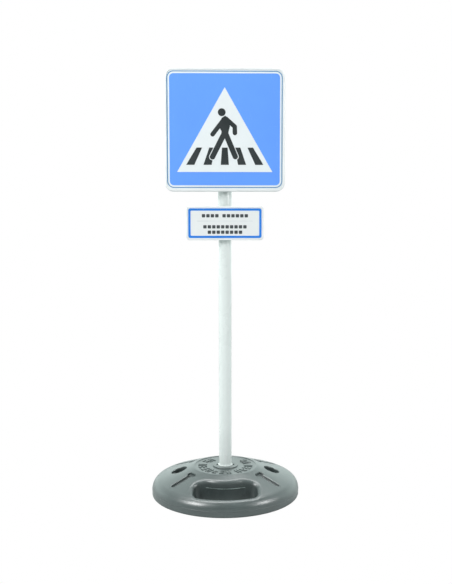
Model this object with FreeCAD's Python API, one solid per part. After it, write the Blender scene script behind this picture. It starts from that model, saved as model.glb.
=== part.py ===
"""Free-standing pedestrian-crossing signpost, built as separate solids, one STEP file per sub-part.

Millimetres.  The origin is at the middle of the base's underside, +Z is up and the sign faces -Y.
"""
import FreeCAD
import Part
import math
import os

V = FreeCAD.Vector
AXIS_Z = V(0, 0, 1)

# --- Round base ---
BASE_RADIUS = 193.0
BASE_SIDE_HEIGHT = 16.0         # upright side, below the rounded rim
RIM_RADIUS = 27.5
UNDERSIDE_EDGE_RADIUS = 3.0
HUB_RADIUS = 85.0
HUB_HEIGHT = 73.0
HUB_CREST_RADIUS = 14.0
HUB_FLOOR_RADIUS = 80.0
HUB_FLOOR_STEP = 1.5
SHELL_WALL = 3.0
SHELL_FLOOR = 5.0
FOOT_RING_INNER_RADIUS = 168.0
UNDERSIDE_RECESS = 2.0

# --- Carrying handle, an opening right through the base at the front ---
HANDLE_GRIP_WIDTH = 27.0        # from the base's edge to the opening
HANDLE_HALF_WIDTH = 78.5
HANDLE_REAR_Y = -100.0
HANDLE_BULGE_Y = -111.0
HANDLE_BULGE_RADIUS = 97.0
HANDLE_FRONT_CORNER = 20.0
HANDLE_REAR_CORNER = 16.0
HANDLE_BULGE_BLEND = 30.0
HANDLE_LIP_RADIUS = 11.0
HANDLE_UNDER_RADIUS = 2.5
HANDLE_WALL = 6.0

# --- T-shaped recesses ---
TEE_ANGLES = (34.0, 146.0, 214.0, 326.0)
TEE_BAR_RADIUS = 105.0
TEE_OUTER_RADIUS = 157.0
TEE_STEM_WIDTH = 14.0
TEE_BAR_LENGTH = 30.0
TEE_BAR_WIDTH = 12.0
TEE_DEPTH = 6.5
TEE_MOUTH_RADIUS = 1.8
TEE_FLOOR_RADIUS = 1.5

# --- Round wells, left one holds the fill cap ---
WELL_PLACE = 122.0
WELL_RADIUS = 20.0
WELL_RIM_RADIUS = 2.0
FILL_WELL_FLOOR = 42.0
BLIND_WELL_FLOOR = 41.0
CAP_WELL_CLEARANCE = 3.0        # between the cap and the well round it
CAP_OVERHANG = 2.5              # from the gasket's edge to the cap's
CAP_HEIGHT = 7.0
CAP_EDGE_RADIUS = 1.2
CAP_GRIP_WIDTH = 4.0
CAP_GRIP_HEIGHT = 3.0
CAP_GRIP_NOTCHES = 24
CAP_NOTCH_RADIUS = 0.9
CAP_SPIGOT_LENGTH = 9.0
CAP_SPIGOT_WALL = 2.0
CAP_SPIGOT_CLEARANCE = 0.4
GASKET_WIDTH = 3.5
GASKET_THICKNESS = 1.6
WATER_LEVEL = 34.0
WATER_CLEARANCE = 1.0
WATER_EDGE_INSET = 13.0

# --- Pole, its foot and its socket ---
POLE_RADIUS = 16.5
POLE_WALL = 1.5
POLE_TOP = 775.0
POLE_TURN_CLEARANCE = 0.05
FOOT_WALL = 2.5
FOOT_FLOOR = 3.0
FOOT_ABOVE_COLLAR = 1.5
LUG_REACH = 4.3
LUG_WIDTH = 8.0
LUG_HEIGHT = 8.0
LUG_BELOW_HUB = 7.5
SOCKET_CLEARANCE = 0.2
KEYWAY_CLEARANCE = 0.3
COLLAR_WALL = 7.0
COLLAR_FLOOR = 2.5
COLLAR_FLANGE_WIDTH = 6.75
COLLAR_FLANGE_HEIGHT = 2.5
COLLAR_EDGE_RADIUS = 1.2
WELL_CLEARANCE = 0.3
WELL_FLOOR_GAP = 0.5
PLUG_FLANGE = 3.0
PLUG_LENGTH = 15.0
PLUG_CLEARANCE = 0.05

# --- Sign stem: the wider tube that slips over the pole ---
STEM_POLE_CLEARANCE = 0.1
STEM_WALL = 1.1
STEM_BELOW_PLATE_BAND = 9.5
STEM_BELOW_SIGN_TOP = 14.0
STOP_THICKNESS = 4.0
STOP_CLEARANCE = 0.05
CAP_DISC = 3.0
CAP_PLUG = 10.0
CAP_DOME_RADIUS = 1.5

# --- Sign panel ---
SIGN_WIDTH = 304.0
SIGN_HEIGHT = 308.0
SIGN_CENTRE_Z = 945.5
SIGN_DEPTH = 18.9
SIGN_CORNER = 22.0
SIGN_EDGE_RADIUS = 3.0
SIGN_WALL = 2.6
SIGN_RIM_WIDTH = 6.0
SIGN_RIM_HEIGHT = 1.5
SIGN_RIB_THICKNESS = 2.0
SIGN_COVER_THICKNESS = 2.0
SIGN_COVER_CLEARANCE = 0.3
SIGN_COVER_BEAD = 1.0
SIGN_COVER_BEAD_WIDTH = 9.0
COVER_SCREW_INSET = 22.0        # from the panel's edges to its corner screws
SIGN_OUTER_RIB_X = 85.0
SEAT_CLEARANCE = 0.3            # between the stem and the flat seats in front of it
BOSS_RADIUS = 5.5

# --- Printed films on the sign ---
SHEET_THICKNESS = 0.5
SHEET_CLEARANCE = 0.3
FILM = 0.2
OUTLINE_SIZE = 290.0
OUTLINE_WIDTH = 2.2
OUTLINE_CORNER = 17.0
WHITE_LINE_WIDTH = 4.2
TRIANGLE_HALF_BASE = 120.0
TRIANGLE_TOP = 104.5
TRIANGLE_BOTTOM = -105.3

# --- Walking figure and stripes: places are (across, up) from the sign's middle ---
HEAD_CENTRE = (-7.5, 43.0)
HEAD_RADIUS = 9.7
TORSO = ((-8.0, 28.5), (1.0, 34.5), (10.0, 28.5), (13.0, 8.0), (9.8, -4.0),
         (8.5, -14.0), (-8.5, -14.0), (-8.3, -4.0), (-12.5, 4.0))
LEFT_ARM = ((-1.5, 26.0), (-30.5, -11.5))
RIGHT_ARM = ((3.5, 26.5), (25.0, 7.5), (25.5, -8.3))
ARM_WIDTH = 11.2
LEFT_LEG = ((-1.0, -9.0), (-31.0, -67.5))
RIGHT_LEG = ((2.0, -9.0), (26.5, -67.0))
LEG_WIDTH = 13.4
LEG_HALO = 1.8
STRIPE_COUNT = 5
STRIPE_TOP = -44.5
STRIPE_BOTTOM = -87.5
STRIPE_TOP_PITCH = 32.0
STRIPE_BOTTOM_PITCH = 43.5
STRIPE_TOP_WIDTH = 14.0
STRIPE_BOTTOM_WIDTH = 20.5

# --- Additional plate ---
PLATE_WIDTH = 197.0
PLATE_HEIGHT = 86.0
PLATE_GAP = 37.0                # from the sign's lower edge to the plate
PLATE_THICKNESS = 6.9
PLATE_CORNER = 8.0
PLATE_EDGE_RADIUS = 1.6
PLATE_RIM_WIDTH = 4.0
PLATE_RIM_HEIGHT = 1.2
PLATE_BLOCK_DEPTH = 6.0
PLATE_BORDER_WIDTH = 5.7
PLATE_BORDER_CORNER = 5.0
PLATE_BORDER_MARGIN = 5.5       # from the plate's edge to the border
DIVIDER_LENGTH = 141.0
DIVIDER_WIDTH = 1.4
DIVIDER_UP = 5.5
DASH_PITCH = 11.3
DASH_WIDTH = 8.6
DASH_HEIGHT = 8.4
DASH_CORNER = 1.6
DASH_ROWS = ((18.9, (4, 6)), (-9.1, (10,)), (-22.7, (8,)))     # height up, dashes in each group
DASH_GROUP_GAP = 7.0

# --- Bands that clamp the sign and the plate to the stem ---
BAND_CLEARANCE = 0.1
BAND_THICKNESS = 3.0
BAND_EAR_END = 7.5              # from the screw to the end of the ear
SIGN_BAND_HEIGHT = 24.0
SIGN_BAND_OFFSET = 95.0         # above and below the sign's middle
PLATE_BAND_HEIGHT = 28.0
SCREW_OFFSET = 6.7              # from the band's round part to the screw
SCREW_RADIUS = 1.9
SCREW_HOLE_CLEARANCE = 0.25
SCREW_THREAD_CLEARANCE = 0.05
SCREW_HEAD_RADIUS = 3.8
SCREW_HEAD_HEIGHT = 2.4
SCREW_LENGTH = 8.0
SCREW_SLOT_WIDTH = 1.0
SCREW_SLOT_DEPTH = 1.2

# --- Places that follow from the sizes above ---
HUB_FLOOR_Z = HUB_HEIGHT - HUB_FLOOR_STEP
FOOT_RADIUS = POLE_RADIUS + POLE_TURN_CLEARANCE + FOOT_WALL
COLLAR_BORE = FOOT_RADIUS + SOCKET_CLEARANCE
COLLAR_RADIUS = COLLAR_BORE + COLLAR_WALL
COLLAR_FLANGE_RADIUS = COLLAR_RADIUS + COLLAR_FLANGE_WIDTH
COLLAR_BOTTOM = SHELL_FLOOR + SHELL_WALL + WELL_FLOOR_GAP
FOOT_BOTTOM = COLLAR_BOTTOM + COLLAR_FLOOR
POLE_BOTTOM = FOOT_BOTTOM + FOOT_FLOOR
COLLAR_TOP = HUB_FLOOR_Z + COLLAR_FLANGE_HEIGHT
SOCKET_WELL_RADIUS = COLLAR_RADIUS + WELL_CLEARANCE
LUG_TOP = HUB_FLOOR_Z - LUG_BELOW_HUB
PLUG_TOP = POLE_TOP + PLUG_FLANGE
STEM_BORE = POLE_RADIUS + STEM_POLE_CLEARANCE
STEM_RADIUS = STEM_BORE + STEM_WALL
SCREW_PLACE = STEM_RADIUS + BAND_CLEARANCE + BAND_THICKNESS + SCREW_OFFSET
BAND_EAR_REACH = SCREW_PLACE + BAND_EAR_END
SIGN_TOP = SIGN_CENTRE_Z + SIGN_HEIGHT / 2
STEM_TOP = SIGN_TOP - STEM_BELOW_SIGN_TOP
SEAT_Y = -(STEM_RADIUS + SEAT_CLEARANCE)
SIGN_FRONT_Y = SEAT_Y - SIGN_DEPTH
SIGN_FLOOR_Y = SIGN_FRONT_Y + SIGN_RIM_HEIGHT
SIGN_SHEET_Y = SIGN_FLOOR_Y - SHEET_THICKNESS
PLATE_CENTRE_Z = SIGN_CENTRE_Z - SIGN_HEIGHT / 2 - PLATE_GAP - PLATE_HEIGHT / 2
STEM_BOTTOM = PLATE_CENTRE_Z - PLATE_BAND_HEIGHT / 2 - STEM_BELOW_PLATE_BAND
FIELD_SIZE = OUTLINE_SIZE - 2 * (OUTLINE_WIDTH + WHITE_LINE_WIDTH)
FIELD_CORNER = OUTLINE_CORNER - OUTLINE_WIDTH - WHITE_LINE_WIDTH
PLATE_BACK_Y = SEAT_Y - PLATE_BLOCK_DEPTH
PLATE_FRONT_Y = PLATE_BACK_Y - PLATE_THICKNESS
PLATE_FLOOR_Y = PLATE_FRONT_Y + PLATE_RIM_HEIGHT
PLATE_SHEET_Y = PLATE_FLOOR_Y - SHEET_THICKNESS
FILL_X = -WELL_PLACE
CAP_RADIUS = WELL_RADIUS - CAP_WELL_CLEARANCE
FILL_HOLE_RADIUS = CAP_RADIUS - CAP_OVERHANG - GASKET_WIDTH
CAP_BOTTOM = FILL_WELL_FLOOR + GASKET_THICKNESS
SIGN_BAND_HEIGHTS = (SIGN_CENTRE_Z - SIGN_BAND_OFFSET, SIGN_CENTRE_Z + SIGN_BAND_OFFSET)


# --- Helpers ---

def cylinder(radius, bottom, top, x=0.0, y=0.0):
    return Part.makeCylinder(radius, top - bottom, V(x, y, bottom), AXIS_Z)


def tube(outer, inner, bottom, top, x=0.0, y=0.0):
    return cylinder(outer, bottom, top, x, y).cut(cylinder(inner, bottom, top, x, y))


def box(low, high):
    size = V(*high) - V(*low)
    return Part.makeBox(size.x, size.y, size.z, V(*low))


def join(shapes):
    whole = shapes[0].fuse(shapes[1:]) if len(shapes) > 1 else shapes[0]
    return whole.removeSplitter()


def around_z(shape, angle):
    turned = shape.copy()
    turned.rotate(V(0, 0, 0), AXIS_Z, angle)
    return turned


def edges_where(shape, test):
    return [edge for edge in shape.Edges if test(edge.BoundBox)]


def round_top(shape, radius, top):
    """Rounds the edges that lie at the height top."""
    return shape.makeFillet(radius, edges_where(shape, lambda b: b.ZMin > top - 0.01))


def rounded_slab(width, height, corner, front, back, centre_z):
    """Upright slab with rounded corners: front and back are the Y of its faces."""
    slab = box((-width / 2, front, centre_z - height / 2), (width / 2, back, centre_z + height / 2))
    upright = edges_where(slab, lambda b: b.YLength > 0.9 * abs(back - front) and b.XLength < 0.01
                          and b.ZLength < 0.01)
    return slab.makeFillet(corner, upright)


def film_solid(outline_face, front, thickness):
    """Film cut along an outline drawn in the XZ plane; front is the Y of its face."""
    film = outline_face.copy()
    film.translate(V(0, front, 0))
    return film.extrude(V(0, thickness, 0))


def polygon_face(points, centre_z):
    corners = [V(across, 0, centre_z + up) for across, up in points]
    return Part.Face(Part.makePolygon(corners + corners[:1]))


def limb(points, width, front, thickness, centre_z):
    """Stroke with round ends along a run of points."""
    pieces = []
    for across, up in points:
        pieces.append(Part.makeCylinder(width / 2, thickness, V(across, front, centre_z + up), V(0, 1, 0)))
    for (x1, z1), (x2, z2) in zip(points, points[1:]):
        length = math.hypot(x2 - x1, z2 - z1)
        side_x = -(z2 - z1) / length * width / 2
        side_z = (x2 - x1) / length * width / 2
        corners = ((x1 + side_x, z1 + side_z), (x2 + side_x, z2 + side_z),
                   (x2 - side_x, z2 - side_z), (x1 - side_x, z1 - side_z))
        pieces.append(film_solid(polygon_face(corners, centre_z), front, thickness))
    return join(pieces)


# --- Base ---

def cone_angle():
    """Direction from the rim arc's centre to the point where the cone leaves it."""
    across = HUB_RADIUS - (BASE_RADIUS - RIM_RADIUS)
    up = HUB_HEIGHT - BASE_SIDE_HEIGHT
    return math.atan2(up, across) - math.acos(RIM_RADIUS / math.hypot(across, up))


def base_form(inset, floor, hub_step):
    """Solid of revolution: the base's outer form moved inwards by inset, down to a floor."""
    angle = cone_angle()
    centre_r = BASE_RADIUS - RIM_RADIUS
    arc = RIM_RADIUS - inset
    top = HUB_HEIGHT - inset
    reach = centre_r * math.cos(angle) + BASE_SIDE_HEIGHT * math.sin(angle) + arc
    hub_r = (reach - top * math.sin(angle)) / math.cos(angle)
    edge = UNDERSIDE_EDGE_RADIUS
    side = BASE_RADIUS - inset

    def place(r, z):
        return V(r, 0, z)

    def on_arc(turn):
        return place(centre_r + arc * math.cos(turn), BASE_SIDE_HEIGHT + arc * math.sin(turn))

    bend = edge * (1 - math.sqrt(0.5))
    outline = [
        Part.LineSegment(place(0, floor), place(side - edge, floor)),
        Part.Arc(place(side - edge, floor), place(side - bend, floor + bend), place(side, floor + edge)),
        Part.LineSegment(place(side, floor + edge), place(side, BASE_SIDE_HEIGHT)),
        Part.Arc(on_arc(0), on_arc(angle / 2), on_arc(angle)),
        Part.LineSegment(on_arc(angle), place(hub_r, top)),
    ]
    if hub_step:
        ramp = HUB_FLOOR_RADIUS + hub_step
        outline.append(Part.LineSegment(place(hub_r, top), place(ramp, top)))
        outline.append(Part.LineSegment(place(ramp, top), place(HUB_FLOOR_RADIUS, top - hub_step)))
        outline.append(Part.LineSegment(place(HUB_FLOOR_RADIUS, top - hub_step), place(0, top - hub_step)))
        outline.append(Part.LineSegment(place(0, top - hub_step), place(0, floor)))
    else:
        outline.append(Part.LineSegment(place(hub_r, top), place(0, top)))
        outline.append(Part.LineSegment(place(0, top), place(0, floor)))
    wire = Part.Wire([segment.toShape() for segment in outline])
    return Part.Face(wire).revolve(V(0, 0, 0), AXIS_Z, 360)


def handle_prism(grow, bottom, top):
    """Upright prism of the handle opening's plan, grown outwards by a wall."""
    front = cylinder(BASE_RADIUS - HANDLE_GRIP_WIDTH + grow, bottom, top)
    half = HANDLE_HALF_WIDTH + grow
    prism = front.common(box((-half, -BASE_RADIUS, bottom), (half, HANDLE_REAR_Y + grow, top)))
    bulge_y = HANDLE_BULGE_Y + HANDLE_BULGE_RADIUS
    prism = prism.cut(cylinder(HANDLE_BULGE_RADIUS - grow, bottom, top, 0, bulge_y))

    def round_uprights(shape, test, radius):
        return shape.makeFillet(radius, edges_where(shape, lambda b: b.ZLength > 0.9 * (top - bottom)
                                                    and b.XLength < 0.01 and test(b)))

    middle_y = (HANDLE_REAR_Y - BASE_RADIUS + HANDLE_GRIP_WIDTH) / 2
    prism = round_uprights(prism, lambda b: b.YMin < middle_y, HANDLE_FRONT_CORNER + grow)
    prism = round_uprights(prism, lambda b: b.YMin > middle_y and abs(b.XMin) > half - 1,
                           HANDLE_REAR_CORNER + grow)
    return round_uprights(prism, lambda b: b.YMin > HANDLE_REAR_Y + grow - 0.5 and 1 < abs(b.XMin)
                          < half - HANDLE_REAR_CORNER - grow - 1, HANDLE_BULGE_BLEND - grow)


def tee_prism(grow, angle):
    """T-shaped prism: a stem that points outwards and a bar across its inner end."""
    top = HUB_HEIGHT + 1
    half_stem = TEE_STEM_WIDTH / 2 + grow
    half_bar = TEE_BAR_WIDTH / 2 + grow
    side = TEE_BAR_LENGTH / 2 - TEE_BAR_WIDTH / 2
    pieces = [
        box((TEE_BAR_RADIUS, -half_stem, 0), (TEE_OUTER_RADIUS, half_stem, top)),
        cylinder(half_stem, 0, top, TEE_OUTER_RADIUS, 0),
        box((TEE_BAR_RADIUS - half_bar, -side, 0), (TEE_BAR_RADIUS + half_bar, side, top)),
        cylinder(half_bar, 0, top, TEE_BAR_RADIUS, side),
        cylinder(half_bar, 0, top, TEE_BAR_RADIUS, -side),
    ]
    return around_z(join(pieces), angle)


def tee_pocket(angle, pocket_floor):
    """Cutter of one T-shaped recess, with a rounded floor."""
    cutter = tee_prism(0, 0).cut(pocket_floor)
    cutter = cutter.makeFillet(TEE_FLOOR_RADIUS, edges_where(cutter, lambda b: b.ZMax < HUB_HEIGHT))
    return around_z(cutter, angle)


def cone_height(reach):
    """Height of the cone at a distance from the axis."""
    return HUB_HEIGHT - (reach - HUB_RADIUS) / math.tan(cone_angle())


def on_tee_mouth(edge):
    """Whether an edge is where a T-shaped recess opens in the cone."""
    middle = edge.valueAt((edge.FirstParameter + edge.LastParameter) / 2)
    reach = math.hypot(middle.x, middle.y)
    if not TEE_BAR_RADIUS - TEE_BAR_WIDTH < reach < TEE_OUTER_RADIUS + TEE_STEM_WIDTH:
        return False
    bearing = math.degrees(math.atan2(middle.y, middle.x)) % 360
    aside = math.radians(min(abs(bearing - angle) for angle in TEE_ANGLES)) * reach
    return aside < TEE_BAR_LENGTH / 2 + 1 and abs(middle.z - cone_height(reach)) < 0.05


def base_shell():
    top = HUB_HEIGHT + 1
    shell = base_form(0, 0, HUB_FLOOR_STEP)
    crest = edges_where(shell, lambda b: b.ZMin > HUB_HEIGHT - 0.01 and b.XMax > HUB_RADIUS - 0.1)
    shell = shell.makeFillet(HUB_CREST_RADIUS, crest)
    shell = shell.cut(handle_prism(0, -1, top))
    front_limit = -BASE_RADIUS + HANDLE_GRIP_WIDTH - 1

    def on_handle(b):
        inside = b.YMax < HANDLE_REAR_Y + 1 and b.YMin > front_limit
        return inside and abs(b.Center.x) < HANDLE_HALF_WIDTH + 1

    rim = edges_where(shell, lambda b: on_handle(b) and b.ZMin > BASE_SIDE_HEIGHT)
    shell = shell.makeFillet(HANDLE_LIP_RADIUS, rim)
    under = edges_where(shell, lambda b: on_handle(b) and b.ZMax < 0.01)
    shell = shell.makeFillet(HANDLE_UNDER_RADIUS, under)
    for x, floor in ((FILL_X, FILL_WELL_FLOOR), (WELL_PLACE, BLIND_WELL_FLOOR)):
        shell = shell.cut(cylinder(WELL_RADIUS, floor, top, x))
        mouth = edges_where(shell, lambda b: abs(b.Center.x - x) < WELL_RADIUS / 2 and b.ZMin > floor + 1
                            and b.YLength > WELL_RADIUS and b.XLength < 3 * WELL_RADIUS)
        shell = shell.makeFillet(WELL_RIM_RADIUS, mouth)
    pocket_floor = base_form(TEE_DEPTH, 0, 0)
    for angle in TEE_ANGLES:
        shell = shell.cut(tee_pocket(angle, pocket_floor))
    shell = shell.makeFillet(TEE_MOUTH_RADIUS, [edge for edge in shell.Edges if on_tee_mouth(edge)])
    cavity = base_form(SHELL_WALL, SHELL_FLOOR, 0)
    cavity = cavity.common(cylinder(BASE_RADIUS, SHELL_FLOOR, HUB_FLOOR_Z - SHELL_WALL))
    cavity = cavity.cut(handle_prism(HANDLE_WALL, 0, top))
    cavity = cavity.cut(cylinder(SOCKET_WELL_RADIUS + SHELL_WALL, 0, top))
    for x, floor in ((FILL_X, FILL_WELL_FLOOR), (WELL_PLACE, BLIND_WELL_FLOOR)):
        cavity = cavity.cut(cylinder(WELL_RADIUS + SHELL_WALL, floor - SHELL_WALL, top, x))
    deep_floor = base_form(TEE_DEPTH + SHELL_WALL, 0, 0)
    for angle in TEE_ANGLES:
        cavity = cavity.cut(tee_prism(SHELL_WALL, angle).cut(deep_floor))
    shell = shell.cut(cavity)
    shell = shell.cut(cylinder(SOCKET_WELL_RADIUS, SHELL_FLOOR + SHELL_WALL, top))
    below_well = FILL_WELL_FLOOR - 2 * SHELL_WALL
    shell = shell.cut(cylinder(FILL_HOLE_RADIUS, below_well, FILL_WELL_FLOOR + 1, FILL_X))
    recess = cylinder(FOOT_RING_INNER_RADIUS, -1, UNDERSIDE_RECESS)
    return shell.cut(recess.cut(handle_prism(HANDLE_WALL, -1, UNDERSIDE_RECESS)))


def water_ballast():
    inner = SOCKET_WELL_RADIUS + SHELL_WALL + WATER_CLEARANCE
    water = tube(BASE_RADIUS - WATER_EDGE_INSET, inner, SHELL_FLOOR, WATER_LEVEL)
    return water.cut(handle_prism(HANDLE_WALL + WATER_CLEARANCE, 0, WATER_LEVEL + 1))


def cap_gasket():
    outer = FILL_HOLE_RADIUS + GASKET_WIDTH
    return tube(outer, FILL_HOLE_RADIUS, FILL_WELL_FLOOR, CAP_BOTTOM, FILL_X)


def fill_cap():
    top = CAP_BOTTOM + CAP_HEIGHT
    head = cylinder(CAP_RADIUS, CAP_BOTTOM, top, FILL_X)
    head = round_top(head, CAP_EDGE_RADIUS, top)
    for index in range(CAP_GRIP_NOTCHES):
        turn = 2 * math.pi * index / CAP_GRIP_NOTCHES
        x = FILL_X + CAP_RADIUS * math.cos(turn)
        y = CAP_RADIUS * math.sin(turn)
        head = head.cut(cylinder(CAP_NOTCH_RADIUS, CAP_BOTTOM - 1, top + 1, x, y))
    dish = cylinder(CAP_RADIUS - 3 * CAP_NOTCH_RADIUS, top - CAP_GRIP_HEIGHT, top + 1, FILL_X)
    half_grip = CAP_GRIP_WIDTH / 2
    grip = box((FILL_X - CAP_RADIUS, -half_grip, 0), (FILL_X + CAP_RADIUS, half_grip, top))
    head = head.cut(dish.cut(grip))
    spigot_r = FILL_HOLE_RADIUS - CAP_SPIGOT_CLEARANCE
    spigot = tube(spigot_r, spigot_r - CAP_SPIGOT_WALL, CAP_BOTTOM - CAP_SPIGOT_LENGTH, CAP_BOTTOM, FILL_X)
    return join([head, spigot])


# --- Pole and socket ---

def socket_collar():
    sleeve = cylinder(COLLAR_RADIUS, COLLAR_BOTTOM, HUB_FLOOR_Z + 0.5)
    flange = cylinder(COLLAR_FLANGE_RADIUS, HUB_FLOOR_Z, COLLAR_TOP)
    flange = round_top(flange, COLLAR_EDGE_RADIUS, COLLAR_TOP)
    collar = join([sleeve, flange])
    collar = collar.cut(cylinder(COLLAR_BORE, FOOT_BOTTOM, COLLAR_TOP + 1))
    reach = COLLAR_BORE + LUG_REACH
    half = LUG_WIDTH / 2 + KEYWAY_CLEARANCE
    bottom = LUG_TOP - LUG_HEIGHT - KEYWAY_CLEARANCE
    return collar.cut(box((-reach, -half, bottom), (reach, half, COLLAR_TOP + 1)))


def pole_foot():
    top = COLLAR_TOP + FOOT_ABOVE_COLLAR
    reach = FOOT_RADIUS + LUG_REACH - KEYWAY_CLEARANCE
    body = cylinder(FOOT_RADIUS, FOOT_BOTTOM, top)
    lugs = box((-reach, -LUG_WIDTH / 2, LUG_TOP - LUG_HEIGHT), (reach, LUG_WIDTH / 2, LUG_TOP))
    foot = join([body, lugs])
    return foot.cut(cylinder(POLE_RADIUS + POLE_TURN_CLEARANCE, POLE_BOTTOM, top + 1))


def pole_tube():
    return tube(POLE_RADIUS, POLE_RADIUS - POLE_WALL, POLE_BOTTOM, POLE_TOP)


def pole_plug():
    bore = POLE_RADIUS - POLE_WALL - PLUG_CLEARANCE
    flange = cylinder(POLE_RADIUS - PLUG_CLEARANCE, POLE_TOP, PLUG_TOP)
    return join([cylinder(bore, POLE_TOP - PLUG_LENGTH, POLE_TOP + PLUG_FLANGE / 2), flange])


# --- Sign stem ---

def sign_stem():
    return tube(STEM_RADIUS, STEM_BORE, STEM_BOTTOM, STEM_TOP)


def stem_stop():
    return cylinder(STEM_BORE - STOP_CLEARANCE, PLUG_TOP, PLUG_TOP + STOP_THICKNESS)


def stem_cap():
    disc = cylinder(STEM_RADIUS, STEM_TOP, STEM_TOP + CAP_DISC)
    disc = round_top(disc, CAP_DOME_RADIUS, STEM_TOP + CAP_DISC)
    return join([disc, cylinder(STEM_BORE - STOP_CLEARANCE, STEM_TOP - CAP_PLUG, STEM_TOP + CAP_DISC / 2)])


def clamp_band(centre_z, height):
    """U-shaped band round the back of the stem, with an ear on each side that seats on the panel."""
    inner = STEM_RADIUS + BAND_CLEARANCE
    outer = inner + BAND_THICKNESS
    low = centre_z - height / 2
    high = centre_z + height / 2
    band = cylinder(outer, low, high)
    band = join([band, box((-outer, SEAT_Y, low), (outer, 0, high)),
                 box((-BAND_EAR_REACH, SEAT_Y, low), (BAND_EAR_REACH, SEAT_Y + BAND_THICKNESS, high))])
    band = band.common(box((-BAND_EAR_REACH, SEAT_Y, low), (BAND_EAR_REACH, outer, high)))
    corners = edges_where(band, lambda b: b.YLength > BAND_THICKNESS - 0.1 and b.XLength < 0.01
                          and b.ZLength < 0.01 and abs(b.Center.x) > BAND_EAR_REACH - 0.1)
    band = band.makeFillet(height / 5, corners)
    band = band.cut(cylinder(inner, low - 1, high + 1))
    band = band.cut(box((-inner, SEAT_Y - 1, low - 1), (inner, 0, high + 1)))
    for side in (-1, 1):
        band = band.cut(Part.makeCylinder(SCREW_RADIUS + SCREW_HOLE_CLEARANCE, BAND_THICKNESS + 2,
                                          V(side * SCREW_PLACE, SEAT_Y - 1, centre_z), V(0, 1, 0)))
    return band


def screw(x, z, under_head):
    """Pan-head screw with a cross slot, its head at the back and its point towards the front."""
    tip = SEAT_Y - SCREW_LENGTH
    shank = Part.makeCylinder(SCREW_RADIUS, under_head - tip, V(x, tip, z), V(0, 1, 0))
    head = Part.makeCylinder(SCREW_HEAD_RADIUS, SCREW_HEAD_HEIGHT, V(x, under_head, z), V(0, 1, 0))
    top = under_head + SCREW_HEAD_HEIGHT
    head = head.makeFillet(SCREW_HEAD_HEIGHT / 3, edges_where(head, lambda b: b.YMin > top - 0.01))
    whole = join([shank, head])
    reach = SCREW_HEAD_RADIUS * 0.6
    half = SCREW_SLOT_WIDTH / 2
    for across, up in ((reach, half), (half, reach)):
        whole = whole.cut(box((x - across, top - SCREW_SLOT_DEPTH, z - up), (x + across, top + 1, z + up)))
    return whole


def band_screw_places(heights):
    return [(side * SCREW_PLACE, z) for z in heights for side in (-1, 1)]


def band_screws(heights):
    return Part.makeCompound([screw(x, z, SEAT_Y + BAND_THICKNESS) for x, z in band_screw_places(heights)])


def cut_screw_holes(panel, places):
    depth = SCREW_LENGTH + SCREW_THREAD_CLEARANCE
    for x, z in places:
        panel = panel.cut(Part.makeCylinder(SCREW_RADIUS + SCREW_THREAD_CLEARANCE, depth + 1,
                                            V(x, SEAT_Y - depth, z), V(0, 1, 0)))
    return panel


# --- Sign ---

def sign_panel():
    outer = rounded_slab(SIGN_WIDTH, SIGN_HEIGHT, SIGN_CORNER, SIGN_FRONT_Y, SEAT_Y, SIGN_CENTRE_Z)
    outer = outer.makeFillet(SIGN_EDGE_RADIUS, edges_where(outer, lambda b: b.YMax < SIGN_FRONT_Y + 0.01))
    rim = 2 * SIGN_RIM_WIDTH
    panel = outer.cut(rounded_slab(SIGN_WIDTH - rim, SIGN_HEIGHT - rim, SIGN_CORNER - SIGN_RIM_WIDTH,
                                   SIGN_FRONT_Y - 1, SIGN_FLOOR_Y, SIGN_CENTRE_Z))
    inner_y = SIGN_FLOOR_Y + SIGN_WALL
    wall = 2 * SIGN_WALL
    hollow = rounded_slab(SIGN_WIDTH - wall, SIGN_HEIGHT - wall, SIGN_CORNER - SIGN_WALL,
                          inner_y, SEAT_Y + 1, SIGN_CENTRE_Z)
    half = SIGN_RIB_THICKNESS / 2
    back = SEAT_Y - SIGN_COVER_THICKNESS
    for x in (-SIGN_OUTER_RIB_X, -SCREW_PLACE, SCREW_PLACE, SIGN_OUTER_RIB_X):
        hollow = hollow.cut(box((x - half, inner_y, SIGN_CENTRE_Z - SIGN_HEIGHT / 2),
                                (x + half, back, SIGN_CENTRE_Z + SIGN_HEIGHT / 2)))
    for z in SIGN_BAND_HEIGHTS + (SIGN_CENTRE_Z,):
        hollow = hollow.cut(box((-SIGN_WIDTH / 2, inner_y, z - half), (SIGN_WIDTH / 2, back, z + half)))
    places = band_screw_places(SIGN_BAND_HEIGHTS) + cover_screw_places()
    for (x, z), top in zip(places, [SEAT_Y] * 4 + [back] * 4):
        hollow = hollow.cut(Part.makeCylinder(BOSS_RADIUS, top - inner_y, V(x, inner_y, z), V(0, 1, 0)))
    return cut_screw_holes(panel.cut(hollow), places)


def cover_screw_places():
    across = SIGN_WIDTH / 2 - COVER_SCREW_INSET
    up = SIGN_HEIGHT / 2 - COVER_SCREW_INSET
    return [(side * across, SIGN_CENTRE_Z + rise * up) for rise in (-1, 1) for side in (-1, 1)]


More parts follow.
